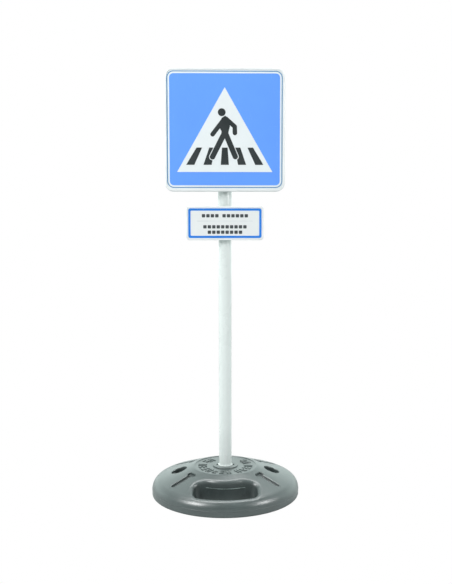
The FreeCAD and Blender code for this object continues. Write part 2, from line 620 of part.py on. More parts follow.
def sign_back_cover():
    """Flat cover let into the back of the panel, with a pressed bead round each half."""
    inset = 2 * (SIGN_WALL + SIGN_COVER_CLEARANCE)
    front = SEAT_Y - SIGN_COVER_THICKNESS
    cover = rounded_slab(SIGN_WIDTH - inset, SIGN_HEIGHT - inset, SIGN_CORNER - inset / 2, front, SEAT_Y,
                         SIGN_CENTRE_Z)
    bead_width = SIGN_WIDTH / 2 - BAND_EAR_REACH - 2 * SIGN_COVER_BEAD_WIDTH
    bead_height = SIGN_HEIGHT - 3 * COVER_SCREW_INSET
    bead_floor = SEAT_Y - SIGN_COVER_BEAD
    line = 2 * SIGN_COVER_BEAD_WIDTH
    corner = SIGN_CORNER / 2
    for side in (-1, 1):
        outer = rounded_slab(bead_width, bead_height, corner, bead_floor, SEAT_Y + 1, SIGN_CENTRE_Z)
        inner = rounded_slab(bead_width - line, bead_height - line, corner / 2, bead_floor - 1, SEAT_Y + 2,
                             SIGN_CENTRE_Z)
        groove = outer.cut(inner)
        groove.translate(V(side * (BAND_EAR_REACH + SIGN_COVER_BEAD_WIDTH / 2 + bead_width / 2), 0, 0))
        cover = cover.cut(groove)
    for x, z in band_screw_places(SIGN_BAND_HEIGHTS):
        cover = cover.cut(Part.makeCylinder(BOSS_RADIUS + SIGN_COVER_CLEARANCE, SIGN_COVER_THICKNESS + 2,
                                            V(x, front - 1, z), V(0, 1, 0)))
    for x, z in cover_screw_places():
        cover = cover.cut(Part.makeCylinder(SCREW_RADIUS + SCREW_HOLE_CLEARANCE, SIGN_COVER_THICKNESS + 2,
                                            V(x, front - 1, z), V(0, 1, 0)))
    return cover


def sign_cover_screws():
    return Part.makeCompound([screw(x, z, SEAT_Y) for x, z in cover_screw_places()])


def sign_sheet():
    width = SIGN_WIDTH - 2 * SIGN_RIM_WIDTH - 2 * SHEET_CLEARANCE
    height = SIGN_HEIGHT - 2 * SIGN_RIM_WIDTH - 2 * SHEET_CLEARANCE
    corner = SIGN_CORNER - SIGN_RIM_WIDTH - SHEET_CLEARANCE
    return rounded_slab(width, height, corner, SIGN_SHEET_Y, SIGN_FLOOR_Y, SIGN_CENTRE_Z)


def outline_film():
    outer = rounded_slab(OUTLINE_SIZE, OUTLINE_SIZE, OUTLINE_CORNER, SIGN_SHEET_Y - FILM, SIGN_SHEET_Y,
                         SIGN_CENTRE_Z)
    inside = OUTLINE_SIZE - 2 * OUTLINE_WIDTH
    return outer.cut(rounded_slab(inside, inside, OUTLINE_CORNER - OUTLINE_WIDTH, SIGN_SHEET_Y - 1,
                                  SIGN_SHEET_Y + 1, SIGN_CENTRE_Z))


def blue_field_film():
    front = SIGN_SHEET_Y - FILM
    return rounded_slab(FIELD_SIZE, FIELD_SIZE, FIELD_CORNER, front, SIGN_SHEET_Y, SIGN_CENTRE_Z)


def triangle_film():
    half = TRIANGLE_HALF_BASE
    corners = ((-half, TRIANGLE_BOTTOM), (half, TRIANGLE_BOTTOM), (0, TRIANGLE_TOP))
    return film_solid(polygon_face(corners, SIGN_CENTRE_Z), SIGN_SHEET_Y - 2 * FILM, FILM)


def figure_film():
    front = SIGN_SHEET_Y - 3 * FILM
    across, up = HEAD_CENTRE
    head = Part.makeCylinder(HEAD_RADIUS, FILM, V(across, front, SIGN_CENTRE_Z + up), V(0, 1, 0))
    body = join([
        film_solid(polygon_face(TORSO, SIGN_CENTRE_Z), front, FILM),
        limb(LEFT_ARM, ARM_WIDTH, front, FILM, SIGN_CENTRE_Z),
        limb(RIGHT_ARM, ARM_WIDTH, front, FILM, SIGN_CENTRE_Z),
        limb(LEFT_LEG, LEG_WIDTH, front, FILM, SIGN_CENTRE_Z),
        limb(RIGHT_LEG, LEG_WIDTH, front, FILM, SIGN_CENTRE_Z),
    ])
    return Part.makeCompound([head, body])


def stripes_film():
    front = SIGN_SHEET_Y - 3 * FILM
    halo = [limb(leg, LEG_WIDTH + 2 * LEG_HALO, front - 1, FILM + 2, SIGN_CENTRE_Z)
            for leg in (LEFT_LEG, RIGHT_LEG)]
    pieces = []
    for index in range(STRIPE_COUNT):
        step = index - (STRIPE_COUNT - 1) / 2
        top = step * STRIPE_TOP_PITCH
        bottom = step * STRIPE_BOTTOM_PITCH
        half_bottom = STRIPE_BOTTOM_WIDTH / 2
        half_top = STRIPE_TOP_WIDTH / 2
        corners = ((bottom - half_bottom, STRIPE_BOTTOM), (bottom + half_bottom, STRIPE_BOTTOM),
                   (top + half_top, STRIPE_TOP), (top - half_top, STRIPE_TOP))
        stripe = film_solid(polygon_face(corners, SIGN_CENTRE_Z), front, FILM)
        pieces.extend(stripe.cut(halo[0]).cut(halo[1]).Solids)
    return Part.makeCompound(pieces)


# --- Additional plate ---

def plate_panel():
    outer = rounded_slab(PLATE_WIDTH, PLATE_HEIGHT, PLATE_CORNER, PLATE_FRONT_Y, PLATE_BACK_Y,
                         PLATE_CENTRE_Z)
    outer = outer.makeFillet(PLATE_EDGE_RADIUS, edges_where(outer, lambda b: b.YMax < PLATE_FRONT_Y + 0.01))
    rim = 2 * PLATE_RIM_WIDTH
    panel = outer.cut(rounded_slab(PLATE_WIDTH - rim, PLATE_HEIGHT - rim, PLATE_CORNER - PLATE_RIM_WIDTH,
                                   PLATE_FRONT_Y - 1, PLATE_FLOOR_Y, PLATE_CENTRE_Z))
    half = PLATE_BAND_HEIGHT / 2
    block = box((-BAND_EAR_REACH, PLATE_BACK_Y, PLATE_CENTRE_Z - half),
                (BAND_EAR_REACH, SEAT_Y, PLATE_CENTRE_Z + half))
    return cut_screw_holes(join([panel, block]), band_screw_places((PLATE_CENTRE_Z,)))


def plate_sheet():
    inset = 2 * (PLATE_RIM_WIDTH + SHEET_CLEARANCE)
    return rounded_slab(PLATE_WIDTH - inset, PLATE_HEIGHT - inset, PLATE_CORNER - inset / 2, PLATE_SHEET_Y,
                        PLATE_FLOOR_Y, PLATE_CENTRE_Z)


def plate_border_film():
    front = PLATE_SHEET_Y - FILM
    width = PLATE_WIDTH - 2 * PLATE_BORDER_MARGIN
    height = PLATE_HEIGHT - 2 * PLATE_BORDER_MARGIN
    outer = rounded_slab(width, height, PLATE_BORDER_CORNER, front, PLATE_SHEET_Y, PLATE_CENTRE_Z)
    line = 2 * PLATE_BORDER_WIDTH
    return outer.cut(rounded_slab(width - line, height - line, PLATE_BORDER_CORNER / 2, front - 1,
                                  PLATE_SHEET_Y + 1, PLATE_CENTRE_Z))


def plate_divider_film():
    return box((-DIVIDER_LENGTH / 2, PLATE_SHEET_Y - FILM, PLATE_CENTRE_Z + DIVIDER_UP - DIVIDER_WIDTH / 2),
               (DIVIDER_LENGTH / 2, PLATE_SHEET_Y, PLATE_CENTRE_Z + DIVIDER_UP + DIVIDER_WIDTH / 2))


def plate_dashes_film():
    """Rows of plain dashes in place of lettering."""
    dashes = []
    front = PLATE_SHEET_Y - FILM
    for up, groups in DASH_ROWS:
        gap = DASH_PITCH - DASH_WIDTH
        length = sum(groups) * DASH_PITCH - gap + (len(groups) - 1) * DASH_GROUP_GAP
        across = -length / 2 + DASH_WIDTH / 2
        for group in groups:
            for _ in range(group):
                dash = rounded_slab(DASH_WIDTH, DASH_HEIGHT, DASH_CORNER, front, PLATE_SHEET_Y,
                                    PLATE_CENTRE_Z + up)
                dash.translate(V(across, 0, 0))
                dashes.append(dash)
                across += DASH_PITCH
            across += DASH_GROUP_GAP
    return Part.makeCompound(dashes)


PARTS = {
    "base_shell": base_shell,
    "water_ballast": water_ballast,
    "cap_gasket": cap_gasket,
    "fill_cap": fill_cap,
    "socket_collar": socket_collar,
    "pole_foot": pole_foot,
    "pole_tube": pole_tube,
    "pole_plug": pole_plug,
    "sign_stem": sign_stem,
    "stem_stop": stem_stop,
    "stem_cap": stem_cap,
    "sign_panel": sign_panel,
    "sign_back_cover": sign_back_cover,
    "sign_cover_screws": sign_cover_screws,
    "sign_sheet": sign_sheet,
    "outline_film": outline_film,
    "blue_field_film": blue_field_film,
    "triangle_film": triangle_film,
    "figure_film": figure_film,
    "stripes_film": stripes_film,
    "lower_sign_band": lambda: clamp_band(SIGN_BAND_HEIGHTS[0], SIGN_BAND_HEIGHT),
    "upper_sign_band": lambda: clamp_band(SIGN_BAND_HEIGHTS[1], SIGN_BAND_HEIGHT),
    "sign_band_screws": lambda: band_screws(SIGN_BAND_HEIGHTS),
    "plate_panel": plate_panel,
    "plate_sheet": plate_sheet,
    "plate_border_film": plate_border_film,
    "plate_divider_film": plate_divider_film,
    "plate_dashes_film": plate_dashes_film,
    "plate_band": lambda: clamp_band(PLATE_CENTRE_Z, PLATE_BAND_HEIGHT),
    "plate_band_screws": lambda: band_screws((PLATE_CENTRE_Z,)),
}

os.makedirs("parts", exist_ok=True)
for node, build in PARTS.items():
    shape = build()
    shape.exportStep("parts/" + node + ".step")
    print(node, "solids", len(shape.Solids), "valid", shape.isValid(), "volume", round(shape.Volume))
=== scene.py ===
"""Free-standing signpost: finishes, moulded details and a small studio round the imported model."""
import math

import bmesh
import bpy
from mathutils import Matrix, Vector


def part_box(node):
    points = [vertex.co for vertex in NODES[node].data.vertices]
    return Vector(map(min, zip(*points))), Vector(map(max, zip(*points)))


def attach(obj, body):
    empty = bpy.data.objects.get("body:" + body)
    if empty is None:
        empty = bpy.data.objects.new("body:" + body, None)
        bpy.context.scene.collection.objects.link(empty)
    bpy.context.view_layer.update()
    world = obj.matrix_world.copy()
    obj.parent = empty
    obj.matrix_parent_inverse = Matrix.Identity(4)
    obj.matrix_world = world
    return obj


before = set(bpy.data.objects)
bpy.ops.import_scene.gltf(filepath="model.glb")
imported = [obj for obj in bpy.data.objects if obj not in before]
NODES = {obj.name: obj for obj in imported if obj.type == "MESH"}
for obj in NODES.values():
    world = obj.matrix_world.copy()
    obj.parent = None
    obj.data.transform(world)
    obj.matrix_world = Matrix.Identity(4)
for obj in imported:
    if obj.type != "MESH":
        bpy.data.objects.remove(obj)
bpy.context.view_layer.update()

bl_info = {
    "name": "Signpost with sign",
    "version": (1, 0, 0),
    "blender": (4, 5, 0),
    "location": "View3D > Sidebar > Signpost",
    "description": "Finishes, moulded details and a studio for the packed signpost",
    "category": "Object",
}

MM = 0.001
FULL_TURN = 2 * math.pi
WELD = 1e-6                      # vertices nearer than this are one
ON_PLANE = 1e-7                  # vertices nearer to a cut than this lie on it
SHARP_FROM = 40                  # degrees between faces from which an edge stays crisp
UPRIGHT_DISC = Matrix.Rotation(math.pi / 2, 4, "X")

# Places on the base: the model gives its radius and height, the rest are the moulding's own steps.
# The hub's crest, the cone's shoulder and the side's top are where the surface changes its slope.
BASE_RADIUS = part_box("base_shell")[1].x
HUB_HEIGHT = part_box("base_shell")[1].z
COLLAR_FLANGE = 2.5 * MM
HUB_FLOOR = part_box("socket_collar")[1].z - COLLAR_FLANGE
CREST_RADIUS = 84 * MM
SIDE_HEIGHT = 16 * MM
SHOULDER_RADIUS = BASE_RADIUS - 18 * MM
SHOULDER_HEIGHT = SIDE_HEIGHT + 25 * MM
CONE_SLOPE = (HUB_HEIGHT - SHOULDER_HEIGHT) / (SHOULDER_RADIUS - CREST_RADIUS)
CONE_MIDDLE = 125 * MM
CONE_REACH = 60 * MM
REAR_WALL_FRONT = -125 * MM      # the handle opening's wall on the hub's side lies between these
REAR_WALL_BACK = -93 * MM

# Stretches that hands rub, at the lower end of each tube, and the stem's lacquer made slightly darker as
# painted shadow from the sign.
HANDLED_LENGTH = 120 * MM
STEM_HANDLED_LENGTH = 36 * MM
STEM_PAINTED_SHADOW = 0.9

# Raised marks on the hub: bearing in degrees of each row's first mark, and marks in the row.
MARK_ROWS = ((176, 7), (302, 4), (22, 2), (128, 2))
MARK_PITCH = 17.0                # degrees from one mark to the next
# Each kind of mark is bars of (offset aside, offset along, width, length), as shares of the given sizes.
MARK_KINDS = (
    ((-1.2, 0.0, 1.0, 1.0), (1.2, 0.0, 1.0, 1.0)),
    ((-0.9, 0.0, 1.0, 1.0), (0.9, 0.36, 1.9, 0.22), (0.9, -0.1, 1.9, 0.22)),
    ((0.0, 0.38, 3.4, 0.22), (0.0, 0.0, 3.0, 0.22), (0.0, -0.38, 3.4, 0.22)),
)

# The cap's thread: full turns, steps in all, sides, and how far it starts above the spigot's end.
THREAD_TURNS = 1.5
THREAD_STEPS = 72
THREAD_SIDES = 6
THREAD_START = 1.6 * MM

# Beads: sides of the round section, and steps round the whole base and round a clamp's half.
BEAD_SIDES = 10
SIDE_BEAD_STEPS = 256
RIB_STEPS = 40

# The clamp bands and the body that each rides on.
CLAMP_BANDS = (("lower_sign_band", "sign_head"), ("upper_sign_band", "sign_head"), ("plate_band", "plate"))

# Studio: colours of the surroundings, and each light's name, place, size and watts.
WORLD_PLAIN = (0.26, 0.285, 0.28)
WORLD_LEFT = (0.45, 0.50, 0.49)
WORLD_BACK = (1.28, 1.46, 1.42)
FLOOR_RADIUS = 8.0
FLOOR_TONES = ((0.42, 0.44, 0.44), (0.45, 0.47, 0.47))
LIGHT_TARGET = Vector((0.0, 0.0, 0.5))
LIGHTS = (
    ("key_light", (-1.75, -1.35, 1.65), (1.1, 0.9), 45.0),
    ("fill_light", (1.95, -0.95, 1.15), (0.9, 0.8), 24.0),
    ("top_light", (-0.1, 0.18, 2.3), (2.6, 1.4), 54.0),
)

# Camera: place in metres, turns in degrees down and to the right, lens in millimetres.
CAMERA_PLACE = (0.0, -2.0634, 0.7204)
CAMERA_DOWN = 5.186
CAMERA_ASIDE = 1.236
CAMERA_LENS = 49.09
CAMERA_SENSOR = 36.0
CAMERA_SHIFT = -0.0277
CAMERA_NEAR = 0.05


# --- What a user can change ---

def length(name, description, default):
    return bpy.props.FloatProperty(name=name, description=description, default=default, min=0.0,
                                   subtype="DISTANCE", unit="LENGTH", precision=4)


def share(name, description, default):
    return bpy.props.FloatProperty(name=name, description=description, default=default, min=0.0, max=1.0,
                                   subtype="FACTOR")


def colour(name, description, default):
    return bpy.props.FloatVectorProperty(name=name, description=description, default=default, size=3,
                                         min=0.0, max=1.0, subtype="COLOR")


class SignpostSizes(bpy.types.PropertyGroup):
    """Sizes of the moulded details."""

    mark_ring_radius: length("Mark ring radius", "Middle of the ring of raised marks on the hub", 0.0605)
    mark_length: length("Mark length", "Radial length of a raised mark", 0.023)
    mark_width: length("Mark width", "Width of one bar of a raised mark", 0.0033)
    mark_height: length("Mark height", "How far a mark stands up from the hub", 0.0017)
    mark_edge: share("Mark edge", "Rounding of a mark's edges, as a share of its height", 0.4)
    parting_height: length("Parting height", "Height of the moulding line in the handle opening", 0.0445)
    parting_width: length("Parting width", "Width of the handle's moulding line", 0.0011)
    parting_reach: length("Parting reach", "How far the handle's moulding line runs to each side", 0.050)
    parting_proud: length("Parting proud", "How far the handle's moulding line stands out", 0.0011)
    side_bead: length("Side bead", "Radius of the moulding line round the side", 0.00045)
    thread_pitch: length("Thread pitch", "Rise of the cap's thread in one turn", 0.004)
    thread_depth: length("Thread depth", "Depth of the cap's thread", 0.0003)
    spigot_radius: length("Spigot radius", "Outside of the cap's spigot", 0.0106)
    band_rib: length("Band rib", "Radius of the stiffening ribs round each clamp band", 0.0009)


class SignpostColours(bpy.types.PropertyGroup):
    """Colours of the finishes."""

    base_plastic: colour("Base plastic", "Moulded plastic of the base", (0.052, 0.070, 0.069))
    # Also the starting tone of the painted highlight on the handle's moulding line.
    base_worn_and_highlight: colour("Base worn", "Rubbed and dusty plastic of the base", (0.12, 0.15, 0.145))
    cap_plastic: colour("Cap plastic", "Fill cap", (0.03, 0.036, 0.036))
    seal_rubber: colour("Seal rubber", "Gasket under the cap", (0.02, 0.02, 0.021))
    water: colour("Water", "Ballast inside the base", (0.72, 0.86, 0.88))
    pole_lacquer: colour("Pole lacquer", "Lacquered pole and stem", (0.73, 0.78, 0.765))
    panel_plastic: colour("Panel plastic", "Sign and plate housings", (0.78, 0.80, 0.805))
    white_sheet: colour("White sheet", "Reflective white of the sign", (0.75, 0.79, 0.81))
    sign_blue: colour("Sign blue", "Blue field of the sign", (0.126, 0.328, 0.93))
    outline_blue: colour("Outline blue", "Thin line round the sign", (0.075, 0.24, 0.48))
    dark_print: colour("Dark print", "Figure and stripes of the sign", (0.020, 0.026, 0.028))
    plate_print: colour("Plate print", "Dashes of the lower plate", (0.048, 0.056, 0.06))
    plate_sheet: colour("Plate sheet", "Sheet of the lower plate", (0.76, 0.78, 0.785))
    plate_blue: colour("Plate blue", "Border of the lower plate", (0.016, 0.205, 0.74))
    divider: colour("Divider", "Thin line across the plate", (0.60, 0.64, 0.66))
    steel: colour("Steel", "Screws", (0.62, 0.63, 0.64))


# --- Node building ---

def add(tree, kind, **settings):
    """New node with some of its settings changed."""
    node = tree.nodes.new(kind)
    for key, value in settings.items():
        setattr(node, key, value)
    return node


def join_up(tree, source, target):
    """Link from one node's output to another's input."""
    tree.links.new(source, target)


def maths(tree, operation, first, second=None):
    """One operation on two values, each a socket or a plain number."""
    node = add(tree, "ShaderNodeMath", operation=operation)
    for place, value in enumerate((first, second)):
        if value is None:
            continue
        if isinstance(value, (int, float)):
            node.inputs[place].default_value = value
        else:
            join_up(tree, value, node.inputs[place])
    return node.outputs[0]


def noise(tree, vector, scale, detail, roughness=0.5):
    """Soft noise whose scale is a socket or a plain number."""
    node = add(tree, "ShaderNodeTexNoise")
    node.inputs["Detail"].default_value = detail
    node.inputs["Roughness"].default_value = roughness
    if isinstance(scale, (int, float)):
        node.inputs["Scale"].default_value = scale
    else:
        join_up(tree, scale, node.inputs["Scale"])
    join_up(tree, vector, node.inputs["Vector"])
    return node.outputs["Fac"]


def map_range(tree, value, low, high, out_low=0.0, out_high=1.0):
    """Smooth step from one range to another, whose ends are sockets or plain numbers."""
    node = add(tree, "ShaderNodeMapRange", interpolation_type="SMOOTHSTEP")
    join_up(tree, value, node.inputs["Value"])
    for name, amount in (("From Min", low), ("From Max", high), ("To Min", out_low), ("To Max", out_high)):
        if isinstance(amount, (int, float)):
            node.inputs[name].default_value = amount
        else:
            join_up(tree, amount, node.inputs[name])
    return node.outputs["Result"]


def mix_colour(tree, mask, first, second):
    """The first colour where the mask is nothing, the second where it is one."""
    node = add(tree, "ShaderNodeMix", data_type="RGBA")
    join_up(tree, mask, node.inputs["Factor"])
    for name, value in (("A", first), ("B", second)):
        socket = next(s for s in node.inputs if s.name == name and s.type == "RGBA")
        if isinstance(value, bpy.types.NodeSocket):
            join_up(tree, value, socket)
        else:
            socket.default_value = (*value[:3], 1.0)
    return next(s for s in node.outputs if s.type == "RGBA")


def stretched(tree, vector, scale):
    """Coordinates multiplied along each axis."""
    node = add(tree, "ShaderNodeMapping")
    join_up(tree, vector, node.inputs["Vector"])
    node.inputs["Scale"].default_value = scale
    return node.outputs["Vector"]


def start_group(name, inputs, outputs):
    """Empty node group with float inputs beside its Vector, and float outputs."""
    tree = bpy.data.node_groups.new(name, "ShaderNodeTree")
    tree.interface.new_socket("Vector", in_out="INPUT", socket_type="NodeSocketVector")
    for label, default in inputs:
        socket = tree.interface.new_socket(label, in_out="INPUT", socket_type="NodeSocketFloat")
        socket.default_value = default
    for label in outputs:
        tree.interface.new_socket(label, in_out="OUTPUT", socket_type="NodeSocketFloat")
    return tree, add(tree, "NodeGroupInput").outputs, add(tree, "NodeGroupOutput").inputs


def moulded_grain():
    """Pebbled surface of moulded plastic, with slow changes of tone."""
    tree, given, result = start_group("Moulded Grain", (("Size", 900.0), ("Drift", 9.0)), ("Height", "Tone"))
    pebbles = add(tree, "ShaderNodeTexVoronoi", feature="SMOOTH_F1")
    join_up(tree, given["Vector"], pebbles.inputs["Vector"])
    join_up(tree, given["Size"], pebbles.inputs["Scale"])
    fine = noise(tree, given["Vector"], given["Size"], 3.0, 0.6)
    join_up(tree, maths(tree, "ADD", maths(tree, "MULTIPLY", pebbles.outputs["Distance"], 0.6),
                        maths(tree, "MULTIPLY", fine, 0.4)), result["Height"])
    slow = noise(tree, given["Vector"], given["Drift"], 4.0, 0.55)
    join_up(tree, map_range(tree, slow, 0.3, 0.7), result["Tone"])
    return tree


def fine_scuffs():
    """Short rubbed streaks in two directions."""
    tree, given, result = start_group("Fine Scuffs", (("Size", 60.0), ("Cover", 0.62)), ("Mask",))
    across = noise(tree, stretched(tree, given["Vector"], (1.0, 1.0, 9.0)), given["Size"], 5.0, 0.65)
    along = noise(tree, stretched(tree, given["Vector"], (8.0, 5.0, 1.0)), given["Size"], 5.0, 0.65)
    strongest = maths(tree, "MAXIMUM", across, along)
    top = maths(tree, "ADD", given["Cover"], 0.12)
    join_up(tree, map_range(tree, strongest, given["Cover"], top), result["Mask"])
    return tree


def round_band():
    """Soft ring at a distance from the upright axis."""
    tree, given, result = start_group("Round Band", (("Radius", 0.1), ("Width", 0.01)), ("Mask",))
    flat = stretched(tree, given["Vector"], (1.0, 1.0, 0.0))
    reach = add(tree, "ShaderNodeVectorMath", operation="LENGTH")
    join_up(tree, flat, reach.inputs[0])
    away = maths(tree, "ABSOLUTE", maths(tree, "SUBTRACT", reach.outputs["Value"], given["Radius"]))
    join_up(tree, map_range(tree, maths(tree, "DIVIDE", away, given["Width"]), 0.0, 1.0, 1.0, 0.0),
            result["Mask"])
    return tree


def sunk_below():
    """How far a point lies under a cone round the upright axis, as in a recess of it."""
    inputs = (("Top Radius", 0.08), ("Top Height", 0.07), ("Slope", 0.4), ("Start", 0.001), ("End", 0.005))
    tree, given, result = start_group("Sunk Below", inputs, ("Mask",))
    parts = add(tree, "ShaderNodeSeparateXYZ")
    join_up(tree, given["Vector"], parts.inputs[0])
    reach = add(tree, "ShaderNodeVectorMath", operation="LENGTH")
    join_up(tree, stretched(tree, given["Vector"], (1.0, 1.0, 0.0)), reach.inputs[0])
    out = maths(tree, "SUBTRACT", reach.outputs["Value"], given["Top Radius"])
    cone = maths(tree, "SUBTRACT", given["Top Height"], maths(tree, "MULTIPLY", out, given["Slope"]))
    depth = maths(tree, "SUBTRACT", cone, parts.outputs["Z"])
    join_up(tree, map_range(tree, depth, given["Start"], given["End"]), result["Mask"])
    return tree


def height_fade():
    """One at a low height, fading to nothing at a high one."""
    tree, given, result = start_group("Height Fade", (("Low", 0.0), ("High", 0.1)), ("Mask",))
    parts = add(tree, "ShaderNodeSeparateXYZ")
    join_up(tree, given["Vector"], parts.inputs[0])
    join_up(tree, map_range(tree, parts.outputs["Z"], given["Low"], given["High"], 1.0, 0.0), result["Mask"])
    return tree


def settled_dust():
    """Fine specks and soft patches of dust."""
    tree, given, result = start_group("Settled Dust", (("Amount", 0.3),), ("Mask",))
    patches = map_range(tree, noise(tree, given["Vector"], 14.0, 4.0, 0.6), 0.42, 0.72)
    specks = map_range(tree, noise(tree, given["Vector"], 1500.0, 1.0), 0.62, 0.72)
    both = maths(tree, "ADD", maths(tree, "MULTIPLY", patches, 0.6), maths(tree, "MULTIPLY", specks, 0.4))
    join_up(tree, maths(tree, "MULTIPLY", both, given["Amount"]), result["Mask"])
    return tree


def reflective_cells():
    """Honeycomb of sealed cells under the clear face of reflective sheeting."""
    tree, given, result = start_group("Reflective Cells", (("Size", 330.0),), ("Height", "Line"))
    cells = add(tree, "ShaderNodeTexVoronoi", feature="DISTANCE_TO_EDGE")
    cells.inputs["Randomness"].default_value = 0.15
    join_up(tree, given["Vector"], cells.inputs["Vector"])
    join_up(tree, given["Size"], cells.inputs["Scale"])
    line = map_range(tree, cells.outputs["Distance"], 0.02, 0.08, 1.0, 0.0)
    join_up(tree, line, result["Line"])
    beads = noise(tree, given["Vector"], 2600.0, 1.0)
    join_up(tree, maths(tree, "SUBTRACT", maths(tree, "MULTIPLY", beads, 0.3), line), result["Height"])
    return tree


GROUP_MAKERS = {
    "grain": moulded_grain,
    "scuffs": fine_scuffs,
    "band": round_band,
    "fade": height_fade,
    "sunk": sunk_below,
    "dust": settled_dust,
    "cells": reflective_cells,
}
GROUPS = {}


class Finish:
    """One material: a Principled shader fed by shared effects."""

    def __init__(self, name, roughness=0.5, metallic=0.0, specular=0.5, coat=0.0, coat_roughness=0.1):
        self.material = bpy.data.materials.new(name)
        self.material.use_nodes = True
        self.tree = self.material.node_tree
        self.shader = next(n for n in self.tree.nodes if n.type == "BSDF_PRINCIPLED")
        for label, value in (("Roughness", roughness), ("Metallic", metallic), ("Coat Weight", coat),
                             ("Coat Roughness", coat_roughness), ("Specular IOR Level", specular)):
            self.shader.inputs[label].default_value = value
        self.place = add(self.tree, "ShaderNodeTexCoord").outputs["Object"]

    def effect(self, name, **values):
        if name not in GROUPS:
            GROUPS[name] = GROUP_MAKERS[name]()
        node = add(self.tree, "ShaderNodeGroup", node_tree=GROUPS[name])
        join_up(self.tree, self.place, node.inputs["Vector"])
        for label, value in values.items():
            node.inputs[label.replace("_", " ").title()].default_value = value
        return node.outputs

    def mix(self, mask, first, second):
        return mix_colour(self.tree, mask, first, second)

    def times(self, first, second):
        return maths(self.tree, "MULTIPLY", first, second)

    def plus(self, first, second):
        return maths(self.tree, "ADD", first, second)

    def most(self, first, second):
        return maths(self.tree, "MAXIMUM", first, second)

    def colour(self, socket):
        join_up(self.tree, socket, self.shader.inputs["Base Color"])

    def roughness(self, mask, low, high):
        join_up(self.tree, map_range(self.tree, mask, 0.0, 1.0, low, high), self.shader.inputs["Roughness"])

    def bump(self, height, depth, strength):
        node = add(self.tree, "ShaderNodeBump")
        node.inputs["Distance"].default_value = depth
        node.inputs["Strength"].default_value = strength
        join_up(self.tree, height, node.inputs["Height"])
        join_up(self.tree, node.outputs["Normal"], self.shader.inputs["Normal"])


def shaded(tint, factor):
    """A colour made darker or paler by a factor."""
    return tuple(min(1.0, channel * factor) for channel in tint)


def base_finish(tints):
    """Satin moulded plastic, pale where the rim and crest rub, with painted shade in the recesses and the
    handle opening, dusty low down.
    """
    made = Finish("Base Plastic", roughness=0.36, specular=0.9, coat=0.5, coat_roughness=0.28)
    grain = made.effect("grain", size=850.0, drift=11.0)
    scuffs = made.effect("scuffs", size=45.0, cover=0.6)["Mask"]
    rim = made.effect("band", radius=BASE_RADIUS - 6 * MM, width=12 * MM)["Mask"]
    crest = made.effect("band", radius=CREST_RADIUS, width=7 * MM)["Mask"]
    cone = made.effect("band", radius=CONE_MIDDLE, width=CONE_REACH)["Mask"]
    sunk = made.effect("sunk", top_radius=CREST_RADIUS, top_height=HUB_HEIGHT, slope=CONE_SLOPE,
                       start=2.0 * MM, end=5.5 * MM)["Mask"]
    low = made.effect("fade", low=0.0, high=14 * MM)["Mask"]
    dust = made.effect("dust", amount=0.22)["Mask"]
    wear = made.times(made.times(made.most(rim, crest), scuffs), 0.5)
    plain = made.mix(grain["Tone"], shaded(tints.base_plastic, 0.90), shaded(tints.base_plastic, 1.08))
    # Painted shade: below the cone's surface, in the recesses and the handle opening, the plastic is coloured
    # darker.
    painted_recess_shade = made.mix(made.times(made.times(sunk, cone), 0.45), plain, shaded(tints.base_plastic, 0.4))
    dirty = made.mix(made.most(dust, made.times(low, 0.16)), painted_recess_shade, tints.base_worn_and_highlight)
    made.colour(made.mix(wear, dirty, shaded(tints.base_worn_and_highlight, 1.25)))
    made.roughness(made.plus(made.times(grain["Tone"], 0.6), made.times(wear, 0.8)), 0.33, 0.46)
    made.bump(made.plus(grain["Height"], made.times(scuffs, 0.3)), 0.10 * MM, 0.35)
    return made.material


def flash_highlight_finish(tints):
    """Thin flash left by the mould, with a painted highlight: coloured far paler than the wall it stands on.
    """
    made = Finish("Moulding Flash Highlight", roughness=0.34, specular=0.9)
    grain = made.effect("grain", size=850.0, drift=60.0)
    # Painted highlight: the flash's colour runs from the worn tone up to 2.6 times it.
    made.colour(made.mix(grain["Tone"], tints.base_worn_and_highlight, shaded(tints.base_worn_and_highlight, 2.6)))
    made.roughness(grain["Tone"], 0.30, 0.42)
    made.bump(grain["Height"], 0.05 * MM, 0.3)
    return made.material


def cap_finish(tints):
    """Harder plastic with a fine grain, a little dusty."""
    made = Finish("Cap Plastic", roughness=0.38)
    grain = made.effect("grain", size=1400.0, drift=60.0)
    dust = made.effect("dust", amount=0.2)["Mask"]
    made.colour(made.mix(made.most(dust, made.times(grain["Tone"], 0.1)), tints.cap_plastic, tints.base_worn_and_highlight))
    made.roughness(grain["Tone"], 0.32, 0.48)
    made.bump(grain["Height"], 0.06 * MM, 0.4)
    return made.material


def rubber_finish(tints):
    """Matt black rubber with a faint bloom."""
    made = Finish("Seal Rubber", roughness=0.75, specular=0.35)
    grain = made.effect("grain", size=2200.0, drift=90.0)
    made.colour(made.mix(grain["Tone"], tints.seal_rubber, shaded(tints.seal_rubber, 1.8)))
    made.roughness(grain["Tone"], 0.68, 0.86)
    made.bump(grain["Height"], 0.05 * MM, 0.6)
    return made.material


def water_finish(tints):
    """Clear, faintly green water with a slow ripple."""
    made = Finish("Ballast Water", roughness=0.02)
    made.shader.inputs["Transmission Weight"].default_value = 1.0
    made.shader.inputs["IOR"].default_value = 1.33
    grain = made.effect("grain", size=40.0, drift=12.0)
    made.colour(made.mix(grain["Tone"], tints.water, shaded(tints.water, 0.94)))
    made.bump(grain["Height"], 0.4 * MM, 0.2)
    return made.material


